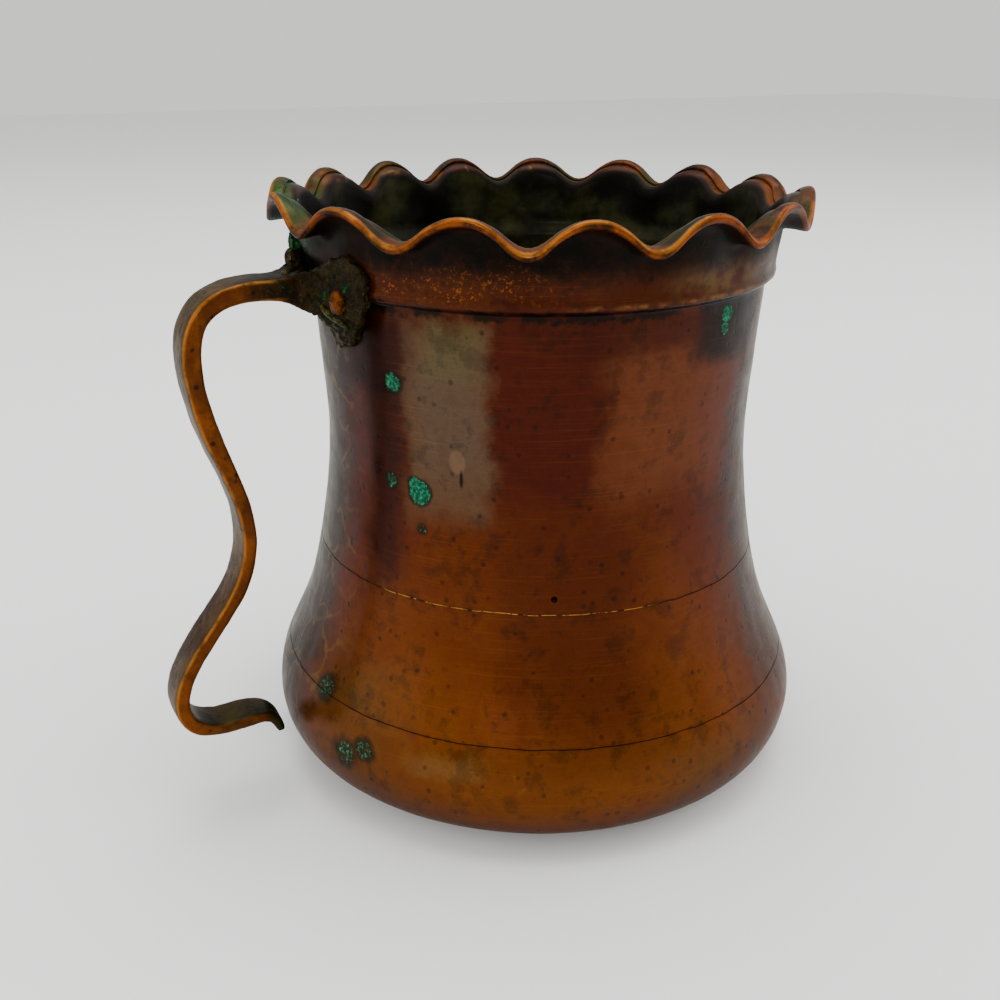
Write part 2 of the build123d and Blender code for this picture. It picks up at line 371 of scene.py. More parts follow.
# dents from broad to fine: size in mm, share of the depth, seed
DENTS = ((15.0, 1.0, 3.1), (6.0, 0.55, 7.7), (2.6, 0.2, 1.3))


def hammer(points):
    """Adds shallow hammered dents along the radius, the same through the thickness of the sheet."""
    depth = settings().sizes.dent / MM
    mm = points / MM
    for i, (x, y, z) in enumerate(mm):
        r = hypot(x, y)
        if r < 1.0:
            continue
        place = (x * 60 / max(r, 20.0), y * 60 / max(r, 20.0), z)
        push = sum(share * rough_at(place, size, seed) for size, share, seed in DENTS)
        push *= depth * min(1.0, r / 30.0)
        points[i, 0] += push * x / r * MM
        points[i, 1] += push * y / r * MM
    return points


def seam_offset(x, y):
    """How far a seam stands above its middle height: it leans, and its line is cut in small steps."""
    angle = degrees(atan2(y, x))
    tooth = noise.noise(Vector((round(angle / 3.6) * 0.73, 4.2, 0.0))) * 0.34
    drift = noise.noise(Vector((cos(radians(angle)) * 1.6, sin(radians(angle)) * 1.6, 9.0))) * 0.35
    return -SEAM_LEAN[0] * x - SEAM_LEAN[1] * y + tooth + drift


def lean(points, weights):
    mm = points / MM
    for i, weight in enumerate(weights):
        if weight > 0:
            points[i, 2] += weight * seam_offset(mm[i, 0], mm[i, 1]) * MM
    return points


def wave_at(angle):
    """Height of the flange's wave at an angle in degrees, 1 at a full crest: broad crests and tight valleys."""
    turned = (angle - CREST_ANGLES[0]) % 360 + CREST_ANGLES[0]
    crests = CREST_ANGLES + (CREST_ANGLES[0] + 360,)
    sizes = CREST_SIZES + (CREST_SIZES[0],)
    for i in range(len(CREST_ANGLES)):
        if crests[i] <= turned <= crests[i + 1]:
            share = (turned - crests[i]) / (crests[i + 1] - crests[i])
            size = sizes[i] + (sizes[i + 1] - sizes[i]) * share
            wave = size * (1 - 2 * abs(sin(pi * share)) ** CREST_WIDTH)
            return wave if wave > 0 else wave * VALLEY_DEPTH
    return 0.0


# ------------------------------------------------------------------------------------- node helpers
class Tree:
    """Short calls that add nodes to one node tree and hand back their output sockets."""

    def __init__(self, tree):
        self.tree = tree

    def put(self, kind, **values):
        node = self.tree.nodes.new("ShaderNode" + kind)
        for key, value in values.items():
            setattr(node, key, value)
        return node

    def feed(self, socket, value):
        if isinstance(value, bpy.types.NodeSocket):
            self.tree.links.new(value, socket)
        elif isinstance(value, (tuple, list, Vector)) and socket.type == "RGBA":
            socket.default_value = (*value[:3], 1.0)
        else:
            socket.default_value = value

    def math(self, operation, *values, clamp=False):
        node = self.put("Math", operation=operation, use_clamp=clamp)
        for socket, value in zip(node.inputs, values):
            self.feed(socket, value)
        return node.outputs[0]

    def times(self, first, *others):
        for other in others:
            first = self.math("MULTIPLY", first, other)
        return first

    def plus(self, first, *others, clamp=False):
        for other in others:
            first = self.math("ADD", first, other, clamp=clamp)
        return first

    def minus(self, first, second):
        return self.math("SUBTRACT", first, second)

    def rest(self, mask):
        """What a mask leaves free."""
        return self.math("SUBTRACT", 1.0, mask, clamp=True)

    def vector(self, operation, *values, output=0):
        node = self.put("VectorMath", operation=operation)
        for socket, value in zip(node.inputs, values):
            self.feed(socket, value)
        return node.outputs[output]

    def scaled(self, vector, factor):
        node = self.put("VectorMath", operation="SCALE")
        self.feed(node.inputs[0], vector)
        self.feed(node.inputs["Scale"], factor)
        return node.outputs[0]

    def mix(self, share, first, second, blend="MIX"):
        node = self.put("Mix", data_type="RGBA", blend_type=blend)
        self.feed(node.inputs[0], share)
        self.feed(node.inputs[6], first)
        self.feed(node.inputs[7], second)
        return node.outputs[2]

    def over(self, colour, code, *masks):
        """A hex colour laid over another colour, as far as all the masks let it."""
        return self.mix(self.times(*masks), colour, srgb(code))

    def rise(self, value, low, high):
        """Smooth step of a value, from 0 at low to 1 at high."""
        node = self.put("MapRange", interpolation_type="SMOOTHSTEP")
        for socket, given in zip(node.inputs, (value, low, high, 0.0, 1.0)):
            self.feed(socket, given)
        return node.outputs[0]

    def band(self, value, low, high, soft):
        """1 between low and high, with soft sides."""
        up = self.rise(value, low - soft, low + soft)
        down = self.rise(value, high + soft, high - soft)
        return self.math("MULTIPLY", up, down)

    def noise(self, vector, scale, detail=4.0, roughness=0.55, distortion=0.0, output="Fac"):
        node = self.put("TexNoise")
        for key, value in (
            ("Vector", vector), ("Scale", scale), ("Detail", detail), ("Roughness", roughness),
            ("Distortion", distortion),
        ):
            self.feed(node.inputs[key], value)
        return node.outputs[output]

    def cells(self, vector, scale, feature="F1", output="Distance"):
        node = self.put("TexVoronoi", feature=feature)
        self.feed(node.inputs["Vector"], vector)
        self.feed(node.inputs["Scale"], scale)
        return node.outputs[output]

    def attribute(self, name):
        return self.put("Attribute", attribute_type="GEOMETRY", attribute_name=name).outputs["Fac"]

    def near(self, vector, centre, radius, soft):
        """1 within radius of a centre, with a soft edge."""
        away = self.vector("DISTANCE", vector, tuple(centre), output="Value")
        return self.rise(away, radius + soft, radius - soft)

    def stretched(self, vector, factors):
        return self.vector("MULTIPLY", vector, tuple(factors))

    def around_point(self, vector, spot, factors):
        """Vector from a spot on the wall (angle about the front, height), stretched."""
        return self.stretched(self.vector("SUBTRACT", vector, tuple(wall_point(*spot))), factors)

    def any_of(self, *masks):
        """Largest of several masks."""
        total = masks[0]
        for mask in masks[1:]:
            total = self.math("MAXIMUM", total, mask)
        return total

    def ramp(self, value, stops):
        """Colour ramp from (position, linear colour) stops."""
        node = self.put("ValToRGB")
        self.feed(node.inputs[0], value)
        elements = node.color_ramp.elements
        while len(elements) < len(stops):
            elements.new(0.5)
        for element, (position, colour) in zip(elements, stops):
            element.position = position
            element.color = (*colour, 1.0)
        return node.outputs[0]


def group(name, inputs, outputs, build):
    """Makes a shader node group once; build gets its Tree and its input sockets, and returns its outputs."""
    tree = bpy.data.node_groups.get(name)
    if tree:
        return tree
    tree = bpy.data.node_groups.new(name, "ShaderNodeTree")
    for title, kind, default in inputs:
        socket = tree.interface.new_socket(name=title, in_out="INPUT", socket_type="NodeSocket" + kind)
        if default is not None:
            socket.default_value = default
    for title, kind in outputs:
        tree.interface.new_socket(name=title, in_out="OUTPUT", socket_type="NodeSocket" + kind)
    start = tree.nodes.new("NodeGroupInput")
    end = tree.nodes.new("NodeGroupOutput")
    results = build(Tree(tree), start.outputs)
    for title, value in results.items():
        tree.links.new(value, end.inputs[title])
    return tree


def place(shader, tree, **values):
    """Puts a group into a material with its own values and returns its outputs."""
    node = shader.tree.nodes.new("ShaderNodeGroup")
    node.node_tree = tree
    for title, value in values.items():
        shader.feed(node.inputs[title.replace("_", " ")], value)
    return node.outputs


def mug_place():
    """Place on the mug: angle about the front in degrees, height in mm, and the point in mm."""
    def build(t, given):
        point = t.scaled(given["Vector"], 1000.0)
        turn = t.put("VectorRotate", rotation_type="Z_AXIS")
        t.feed(turn.inputs["Vector"], point)
        t.feed(turn.inputs["Angle"], FRONT_TURN)
        parts = t.put("SeparateXYZ")
        t.feed(parts.inputs[0], turn.outputs[0])
        around = t.times(t.math("ARCTAN2", parts.outputs[1], parts.outputs[0]), 180 / pi)
        return {"Around": around, "Height": parts.outputs[2], "Point": point}
    return group(
        "mug_place", [("Vector", "Vector", None)],
        [("Around", "Float"), ("Height", "Float"), ("Point", "Vector")], build,
    )


def patina_mottle():
    """Cloudy mixture of two colours with a third in flecks, at a scale per mm."""
    def build(t, given):
        big = t.noise(given["Vector"], given["Scale"], 6.0, 0.62, 0.6)
        fine_scale = t.times(given["Scale"], 7.0)
        fine = t.noise(given["Vector"], fine_scale, 5.0, 0.7, 0.3)
        cloud = t.rise(t.plus(t.times(big, 0.75), t.times(fine, 0.25)), 0.38, 0.62)
        fleck = t.times(t.rise(fine, 0.56, 0.70), given["Fleck amount"])
        colour = t.mix(cloud, given["Dark"], given["Light"])
        return {"Color": t.mix(fleck, colour, given["Fleck"]), "Mask": cloud}
    return group(
        "patina_mottle",
        [
            ("Vector", "Vector", None), ("Scale", "Float", 0.06), ("Dark", "Color", None), ("Light", "Color", None),
            ("Fleck", "Color", None), ("Fleck amount", "Float", 0.5),
        ],
        [("Color", "Color"), ("Mask", "Float")], build,
    )


def mottled(t, point, scale, dark, light, fleck, amount=0.6):
    """Mottled colour in a material; each colour is a hex code or linear values."""
    dark, light, fleck = (srgb(tone) if isinstance(tone, str) else tuple(tone) for tone in (dark, light, fleck))
    values = dict(Vector=point, Scale=scale, Dark=dark, Light=light, Fleck=fleck, Fleck_amount=amount)
    return place(t, patina_mottle(), **values)["Color"]


def fine_wear():
    """Pits, rub marks and polish lines as masks, and their height."""
    def build(t, given):
        point = given["Vector"]
        lines = t.noise(t.stretched(point, (0.05, 0.05, 2.4)), 1.0, 4.0, 0.65)
        scratch = t.noise(t.stretched(point, (1.1, 1.1, 0.07)), 1.0, 3.0, 0.6, 0.4)
        spot = t.cells(point, 0.42)
        which = t.put("SeparateColor")
        t.feed(which.inputs[0], t.cells(point, 0.42, output="Color"))
        chosen = t.rise(which.outputs[0], 0.80, 0.86)
        pit = t.times(t.rise(spot, 0.34, 0.16), chosen)
        grain = t.noise(point, 2.2, 5.0, 0.75)
        height = t.plus(t.times(lines, 0.30), t.times(grain, 0.35))
        height = t.minus(height, t.times(pit, 0.8))
        height = t.times(height, given["Depth"])
        return {
            "Pits": pit, "Lines": t.rise(lines, 0.52, 0.72), "Scratches": t.rise(scratch, 0.66, 0.74),
            "Grain": grain, "Height": height,
        }
    return group(
        "fine_wear", [("Vector", "Vector", None), ("Depth", "Float", 1.0)],
        [("Pits", "Float"), ("Lines", "Float"), ("Scratches", "Float"), ("Grain", "Float"), ("Height", "Float")],
        build,
    )


def verdigris_crust():
    """Green copper salts over a colour where a mask says, broken up at the edge, with their height."""
    def build(t, given):
        crumbs = t.noise(given["Vector"], 1.3, 6.0, 0.72)
        wide = t.noise(given["Vector"], 0.35, 3.0, 0.5)
        solid = t.plus(given["Mask"], t.times(t.minus(crumbs, 0.5), 1.1))
        crust = t.rise(solid, 0.45, 0.72)
        halo = t.rise(t.plus(given["Mask"], t.times(t.minus(wide, 0.5), 0.5)), 0.08, 0.5)
        pale = t.mix(t.rise(crumbs, 0.45, 0.68), given["Deep"], given["Pale"])
        under = t.mix(t.times(halo, 0.75), given["Color"], given["Rim"])
        return {"Color": t.mix(crust, under, pale), "Mask": crust, "Height": t.times(crust, crumbs)}
    return group(
        "verdigris_crust",
        [
            ("Vector", "Vector", None), ("Mask", "Float", 0.0), ("Color", "Color", None), ("Pale", "Color", None),
            ("Deep", "Color", None), ("Rim", "Color", None),
        ],
        [("Color", "Color"), ("Mask", "Float"), ("Height", "Float")], build,
    )


def new_material(name):
    """Material with its Principled shader and Output, and a Tree to build it with."""
    material = bpy.data.materials.new(name)
    material.use_nodes = True
    tree = material.node_tree
    tree.nodes.clear()
    shader = tree.nodes.new("ShaderNodeBsdfPrincipled")
    out = tree.nodes.new("ShaderNodeOutputMaterial")
    tree.links.new(shader.outputs[0], out.inputs[0])
    return material, Tree(tree), shader


def finish_surface(t, shader, colour, metallic, roughness, height, bump=0.25, distance=0.2 * MM):
    deep = t.put("Gamma")
    t.feed(deep.inputs["Color"], colour)
    deep.inputs["Gamma"].default_value = DEPTH
    t.feed(shader.inputs["Base Color"], t.mix(1.0, deep.outputs[0], TINT, "MULTIPLY"))
    shader.inputs["Specular IOR Level"].default_value = SHEEN
    shader.inputs["Specular Tint"].default_value = EDGE
    t.feed(shader.inputs["Metallic"], metallic)
    t.feed(shader.inputs["Roughness"], roughness)
    node = t.put("Bump")
    node.inputs["Strength"].default_value = bump
    node.inputs["Distance"].default_value = distance
    t.feed(node.inputs["Height"], height)
    t.tree.links.new(node.outputs[0], shader.inputs["Normal"])


# old metal takes all colours darker and warmer: contrast, tint, clear sheen and the dull tint of its sides
DEPTH = 1.28
TINT = (0.76, 0.63, 0.29)
SHEEN = 0.16
EDGE = (0.30, 0.28, 0.20, 1.0)

# patches of the body's colour, patina and painted light: colour, angles about the front, heights, softness of each,
# strength
PATINA_AND_PAINTED_LIGHT_PATCHES = (
    # grey green left side: patina with a painted reflection
    ("3c4038", (-200, -60), (0, 128), 12, 8, 0.78),
    # grey right side and back: patina with a painted reflection
    ("584c50", (54, 200), (22, 128), 14, 10, 0.65),
    ("6a5a2c", (-52, -30), (8, 40), 9, 8, 0.45),
    ("5c2a0e", (-10, 22), (30, 84), 6, 10, 0.55),
    ("7a5022", (-48, 34), (19, 29), 8, 3, 0.45),
    # painted highlight: pale spot on the belly
    ("8e745a", (-26, -11), (21.5, 27), 3, 1.6, 0.55),
    ("6c5a46", (26, 60), (6, 24), 9, 5, 0.5),
    ("80564b", (14, 56), (84, 124), 7, 7, 0.75),
    ("5a2410", (-12, 13), (84, 127), 2.5, 6, 0.85),
    # pale purple grey patch left of the front, in three layers: oxide bloom with a painted reflection
    ("746a72", (-35, -12), (79, 124), 2.2, 5, 0.72),
    ("706878", (-30, -13), (90, 116), 4, 6, 0.5),
    ("6c7468", (-28, -15), (112, 125), 3, 3, 0.45),
    # painted reflection of the handle: dark streak down the body
    ("4a210e", (-47, -36), (62, 124), 4, 10, 0.9),
    # painted shade on the neck below the front wing of the handle
    ("3c170b", (-64, -34), (106, 125), 5, 4, 0.85),
    ("241006", (37, 62), (113, 127), 3, 3, 0.88),
    ("4a180a", (8, 40), (118, 127), 6, 3, 0.6),
)


def body_colours(t, finish, around, height, point):
    """Base colour of the outside: a climb of browns, then the patches of patina and painted light, each with a
    wandering edge.
    """
    mottle = mottled(t, point, 0.045, finish.red_copper, finish.copper, finish.olive, 0.55)
    climb = t.ramp(t.math("DIVIDE", height, 150.0), [
        (0.0, srgb("7c5e30")), (0.14, srgb("9c6a2c")), (0.28, srgb("94602a")), (0.42, srgb("84501f")),
        (0.56, srgb("723e18")), (0.74, srgb("6c3e1e")), (0.86, srgb("60381e")), (1.0, srgb("38200f")),
    ])
    colour = t.mix(0.62, mottle, climb)
    wander = t.noise(point, 0.07, 7.0, 0.68, output="Color")
    shift = t.put("SeparateColor")
    t.feed(shift.inputs[0], wander)
    swing = t.times(t.minus(shift.outputs[0], 0.5), 22.0)
    lift = t.times(t.minus(shift.outputs[1], 0.5), 20.0)
    for code, angles, heights, soft_angle, soft_height, strength in PATINA_AND_PAINTED_LIGHT_PATCHES:
        turned = t.plus(around, t.times(swing, min(1.0, 0.3 + soft_angle / 12)))
        raised = t.plus(height, t.times(lift, min(1.0, 0.45 + soft_height / 12)))
        mask = t.times(t.band(turned, *angles, soft_angle), t.band(raised, *heights, soft_height))
        colour = t.over(colour, code, mask, strength)
    return colour


# green spots: angle about the front, height, radius, strength
SPOTS = (
    (-30.9, 84.5, 2.9, 1.0), (-32.4, 86.3, 1.9, 0.8), (-37.3, 109.6, 2.6, 0.72), (-39.7, 85.9, 2.1, 0.6),
    (47.6, 123.6, 2.2, 0.9), (47.2, 120.4, 1.7, 0.7), (-41.8, 19.5, 4.2, 0.5), (-37.0, 22.5, 3.4, 0.5),
    (-52.0, 31.0, 4.0, 0.5), (-30.0, 76.0, 1.5, 0.5), (128.0, 96.0, 3.2, 0.8), (152.0, 44.0, 4.0, 0.6),
    (98.0, 22.0, 4.4, 0.55), (-118.0, 104.0, 3.0, 0.7), (-142.0, 30.0, 4.2, 0.6),
)
# black stains along the foot: angle about the front, height, radius
STAINS = ((-1.5, 4.6, 3.6), (2.5, 4.4, 2.6), (-6.0, 4.8, 2.0), (21.5, 4.8, 2.6))
CHIP = (-20.6, 93.2)  # pale chip: angle about the front, height
CUT = (-19.6, 89.2)  # dark scratch below it


def copper_body():
    """Aged copper of the three shells, outside and inside."""
    found = bpy.data.materials.get("body_patina_and_painted_light")
    if found:
        return found
    finish = settings().finish
    material, t, shader = new_material("body_patina_and_painted_light")
    where = place(t, mug_place(), Vector=t.put("TexCoord").outputs["Object"])
    around, height, point = where["Around"], where["Height"], where["Point"]
    wear = place(t, fine_wear(), Vector=point)
    colour = body_colours(t, finish, around, height, point)

    # cloudy change of tone, grain and polish lines
    tone = t.noise(point, 0.16, 6.0, 0.68)
    colour = t.mix(t.times(t.rise(tone, 0.35, 0.7), 0.35), colour, srgb("8a6c4a"), "OVERLAY")
    dark_side = t.times(t.rise(tone, 0.52, 0.36), 0.35)
    colour = t.mix(dark_side, colour, srgb("2a160a"), "MULTIPLY")
    colour = t.mix(t.times(wear["Lines"], 0.05), colour, srgb("c8a078"), "SCREEN")
    colour = t.over(colour, "180c06", t.rise(wear["Grain"], 0.55, 0.7), 0.22)
    colour = t.over(colour, "1c1006", wear["Pits"], 0.4)

    # pale veins over the left side and faint tide rings
    bent = t.vector("ADD", point, t.scaled(t.noise(point, 0.12, 3.0, 0.5, output="Color"), 9.0))
    vein = t.rise(t.cells(bent, 0.085, "DISTANCE_TO_EDGE"), 0.07, 0.0)
    side = t.times(t.rise(around, -44.0, -62.0), t.rise(t.noise(point, 0.15, 4.0, 0.6), 0.4, 0.62))
    colour = t.over(colour, "9a947c", vein, side, 0.42)
    ring_place = t.cells(bent, 0.055)
    ring_pick = t.put("SeparateColor")
    t.feed(ring_pick.inputs[0], t.cells(bent, 0.055, output="Color"))
    ring = t.times(t.band(ring_place, 0.09, 0.13, 0.03), t.rise(ring_pick.outputs[1], 0.70, 0.76))
    ring = t.times(ring, t.rise(t.noise(point, 0.3, 3.0), 0.46, 0.6))
    colour = t.over(colour, "a08a5c", ring, 0.26)
    blot = t.times(t.rise(ring_place, 0.20, 0.10), t.rise(ring_pick.outputs[2], 0.84, 0.9))
    colour = t.over(colour, "3a3418", blot, 0.45)

    # seams: dark crack lines beside the brazing
    lean_x = t.put("SeparateXYZ")
    t.feed(lean_x.inputs[0], point)
    leaned = t.plus(height, t.times(lean_x.outputs[0], SEAM_LEAN[0]))
    leaned = t.plus(leaned, t.times(lean_x.outputs[1], SEAM_LEAN[1]))
    for seam in (WAIST_SEAM, BASE_SEAM):
        gap = t.math("ABSOLUTE", t.minus(leaned, seam))
        smear = t.times(t.rise(gap, 0.8, 0.15), t.rise(t.noise(point, 0.4, 3.0), 0.42, 0.7))
        colour = t.over(colour, "2c1a0c", smear, 0.36)

    # dirt and painted shade under the joggle, a painted highlight on its ridge, gold flecks and a painted sheen on
    # the collar, and soot with painted shade below the flange
    ragged = t.plus(height, t.times(t.minus(t.noise(point, 0.5, 5.0, 0.7), 0.5), 5.0))
    # dirt and painted shade in the crease under the joggle
    joggle = t.times(t.band(ragged, 125.4, 128.0, 0.7), t.rise(t.noise(point, 0.14), 0.40, 0.52))
    colour = t.over(colour, "15110a", joggle, 0.85)
    gold = t.times(t.rise(t.noise(point, 1.1, 5.0, 0.75), 0.54, 0.62), t.band(height, 129.5, 138.0, 1.5))
    gold = t.times(gold, t.band(around, -42.0, 4.0, 8.0))
    gold = t.times(gold, t.rise(t.noise(point, 0.16, 3.0), 0.38, 0.6))
    colour = t.over(colour, "b07a3c", gold, 0.7)
    # painted highlight along the ridge of the joggle
    ridge_highlight = t.times(t.band(height, 128.4, 129.3, 0.4), t.band(around, 6.0, 70.0, 10.0))
    ridge_highlight = t.times(ridge_highlight, t.rise(t.noise(point, 0.25, 4.0), 0.36, 0.62))
    colour = t.over(colour, "a88a6c", ridge_highlight, 0.5)
    sheen = t.times(t.band(height, 129.5, 136.5, 2.0), t.band(around, 30.0, 66.0, 9.0))
    sheen = t.times(sheen, t.rise(t.noise(point, 0.2, 4.0), 0.34, 0.6))
    colour = t.over(colour, "867f74", sheen, 0.45)
    # soot and painted shade: near-black on the collar below the flange
    below_flange_soot_and_shade = t.times(t.rise(ragged, 132.0, 138.5), t.rise(height, 145.6, 144.0))
    below_flange_soot_and_shade = t.times(below_flange_soot_and_shade, t.plus(0.72, t.times(t.rise(tone, 0.62, 0.42), 0.28)))
    below_flange_soot_and_shade = t.times(below_flange_soot_and_shade, t.rest(t.attribute("hem")))
    colour = t.mix(t.times(below_flange_soot_and_shade, 0.97), colour, tuple(finish.soot_and_shade))

    # chipped pale patch with a scratch under it, and black stains along the foot
    chip = t.near(t.around_point(point, CHIP, (1.0, 1.0, 0.7)), (0, 0, 0), 1.9, 0.35)
    colour = t.over(colour, "8e7a80", chip, 0.45)
    cut = t.near(t.around_point(point, CUT, (1.0, 1.0, 0.22)), (0, 0, 0), 0.42, 0.2)
    colour = t.over(colour, "20120a", cut, 0.85)
    stains = t.any_of(*(
        t.near(t.around_point(point, (turn, rise), (0.5, 0.5, 1.5)), (0, 0, 0), size, size * 0.45)
        for turn, rise, size in STAINS
    ))
    torn = t.rise(t.plus(stains, t.times(t.noise(point, 0.8, 5.0, 0.7), 0.6)), 0.72, 0.95)
    colour = t.over(colour, "10120a", torn, 0.93)

    # verdigris: the spots, the crust by the left end of the flange, and a few behind
    spots = t.any_of(*(
        t.times(t.near(point, wall_point(turn, rise), size, size * 0.55), full) for turn, rise, size, full in SPOTS
    ))
    left_end = t.times(t.band(around, -108.0, -62.0, 9.0), t.rise(height, 127.0, 134.0))
    left_end = t.times(left_end, t.rise(t.noise(point, 0.13, 4.0, 0.6), 0.42, 0.62))
    # painted shade on the neck round the root of the handle
    root_shade = t.times(t.band(around, -92.0, -50.0, 4.0), t.band(height, 117.0, 136.0, 3.0))
    colour = t.over(colour, "17160c", root_shade, 0.72)
    crust = place(
        t, verdigris_crust(), Vector=point, Color=colour,
        Mask=t.any_of(spots, t.times(left_end, 0.72)), Pale=tuple(finish.verdigris),
        Deep=srgb("18606a"), Rim=srgb("1c200e"),
    )
    colour = crust["Color"]

    # flange: bright brown top, green in places, worn bare at its edge, with a painted highlight on the hem's upper
    # edge
    hem = t.attribute("hem")
    top = t.attribute("top")
    brown = mottled(t, point, 0.10, "3c2412", "7e5026", "5e6a34", 0.5)
    greenish = t.times(t.rise(t.noise(point, 0.055, 3.0), 0.48, 0.62), 0.75)
    flange_colour = t.over(brown, "3c4a2c", greenish)
    teal = t.times(t.band(around, -112.0, -58.0, 8.0), 0.85)
    flange_colour = t.over(flange_colour, "2c6a50", teal, t.rise(tone, 0.38, 0.58))
    colour = t.mix(top, colour, flange_colour)
    worn_there = t.rise(t.noise(point, 0.12, 5.0, 0.65), 0.40, 0.58)
    # bare copper and a painted highlight on the hem's upper edge
    worn_and_highlight = t.times(t.attribute("rub"), t.plus(t.times(worn_there, 0.7), 0.12))
    edge = mottled(t, point, 0.14, "3e2a14", "a0622c", "4e5630")
    colour = t.mix(t.times(hem, 0.9), colour, edge)
    colour = t.mix(worn_and_highlight, colour, tuple(finish.worn))

    # inside: near-black painted shade, with worn tin showing in clouds
    clouds = t.rise(t.noise(point, 0.05, 5.0, 0.6), 0.45, 0.68)
    within = t.mix(clouds, srgb("040403"), tuple(finish.tin))
    within = t.over(within, "2c2414", t.rise(tone, 0.5, 0.7), 0.4)
    inside = t.attribute("inside")
    colour = t.mix(inside, colour, within)

    matt = t.any_of(crust["Mask"], t.times(below_flange_soot_and_shade, 0.8), torn, t.times(inside, 0.55))
    metallic = t.times(t.rest(matt), 0.55)
    rough = t.plus(0.27, t.times(t.rise(tone, 0.3, 0.75), 0.16))
    rough = t.plus(rough, t.times(matt, 0.42), clamp=True)
    bumps = t.plus(wear["Height"], t.times(crust["Height"], 1.6))
    bumps = t.minus(bumps, t.times(chip, 0.4))
    finish_surface(t, shader, colour, metallic, rough, bumps, 0.35)
    t.feed(shader.inputs["Coat Weight"], t.times(t.rest(matt), 0.07))
    shader.inputs["Coat Roughness"].default_value = 0.22
    return material


def brass_braze():
    """Brazing metal: pale where it was filed flush, black where it sank."""
    found = bpy.data.materials.get("braze_line")
    if found:
        return found
    finish = settings().finish
    material, t, shader = new_material("braze_line")
    where = place(t, mug_place(), Vector=t.put("TexCoord").outputs["Object"])
    around, height, point = where["Around"], where["Height"], where["Point"]
    wear = place(t, fine_wear(), Vector=point)
    dash = t.rise(t.noise(t.stretched(point, (0.55, 0.55, 0.2)), 1.0, 3.0, 0.6), 0.40, 0.56)
    filed = t.times(t.band(around, -42.0, 27.0, 6.0), t.rise(height, 44.0, 48.0))
    bright = t.times(filed, dash)
    colour = t.mix(bright, srgb("3a2412"), tuple(finish.brass))
    colour = t.over(colour, "3c2410", wear["Grain"], 0.35)
    rough = t.minus(0.62, t.times(bright, 0.26))
    finish_surface(t, shader, colour, t.times(bright, 0.8), rough, wear["Height"], 0.4)
    return material


def forged_copper():
    """Strap: orange brown sides, a grey green back, a dark foot, painted shade at the root, and worn edges."""
    found = bpy.data.materials.get("strap_patina_and_shade")
    if found:
        return found
    finish = settings().finish
    material, t, shader = new_material("strap_patina_and_shade")
    where = place(t, mug_place(), Vector=t.put("TexCoord").outputs["Object"])
    point = where["Point"]
    axes = t.put("SeparateXYZ")
    t.feed(axes.inputs[0], point)
    out = t.times(axes.outputs[0], -1.0)
    height = axes.outputs[2]
    wear = place(t, fine_wear(), Vector=point)
    sides = mottled(t, point, 0.11, "68401a", finish.strap, "3a1c0c", 0.55)
    backs = mottled(t, point, 0.09, "4c4432", "77705e", "3e4028")
    flat = t.attribute("flat")
    colour = t.mix(t.times(flat, 0.85), sides, backs)
    foot = mottled(t, point, 0.10, "2c2812", "5c5426", "1f3a22", 0.7)
    tab = t.times(t.rise(height, 29.0, 24.0), t.rise(out, 97.0, 91.0))
    colour = t.mix(t.times(tab, t.plus(0.35, t.times(flat, 0.6))), colour, foot)
    lip = t.times(t.rise(out, 78.5, 75.5), t.rise(height, 30.0, 22.0))
    colour = t.over(colour, "1c4030", lip, 0.7)
    tone = t.noise(point, 0.28, 5.0, 0.65)
    colour = t.mix(t.times(t.rise(tone, 0.5, 0.7), 0.30), colour, srgb("301c0c"), "MULTIPLY")
    low_dark = t.times(t.band(height, 40.0, 62.0, 8.0), 0.35)
    colour = t.over(colour, "54301c", low_dark)
    # painted shade at the root of the strap, dark and mottled
    root = t.times(t.rise(out, 79.0, 70.0), t.rise(height, 100.0, 112.0))
    painted_shade = mottled(t, point, 0.22, "0d0b07", "37341f", "70744a")
    colour = t.mix(t.times(root, 0.92), colour, painted_shade)
    back_green = t.times(t.rise(axes.outputs[1], 6.0, 10.0), t.rise(height, 110.0, 118.0))
    crust = place(
        t, verdigris_crust(), Vector=point, Color=colour, Pale=srgb("2f7c52"), Deep=srgb("0d3a24"),
        Rim=srgb("16180c"),
        Mask=t.any_of(
            t.times(back_green, 0.85),
            t.times(root, t.rise(t.noise(point, 0.2, 4.0), 0.5, 0.7), 0.6),
        ),
    )
    colour = crust["Color"]
    rub = t.times(t.attribute("rub"), t.rise(t.noise(point, 0.25, 4.0, 0.6), 0.28, 0.55))
    rub = t.times(rub, t.rest(t.times(tab, 0.7)))
    colour = t.mix(t.times(rub, 0.62), colour, tuple(finish.worn))
    colour = t.over(colour, "1c0e06", wear["Pits"], 0.7)
    matt = t.any_of(crust["Mask"], t.times(root, 0.5))
    metallic = t.times(t.rest(matt), 0.55)
    rough = t.plus(0.30, t.times(tone, 0.14))
    rough = t.plus(rough, t.times(matt, 0.35), clamp=True)
    bumps = t.plus(wear["Height"], t.times(crust["Height"], 1.5))
    bumps = t.plus(bumps, t.times(t.noise(point, 0.5, 3.0), 0.8))
    finish_surface(t, shader, colour, metallic, rough, bumps, 0.4)
    t.feed(shader.inputs["Coat Weight"], t.times(t.rest(matt), 0.06))
    shader.inputs["Coat Roughness"].default_value = 0.25
    return material


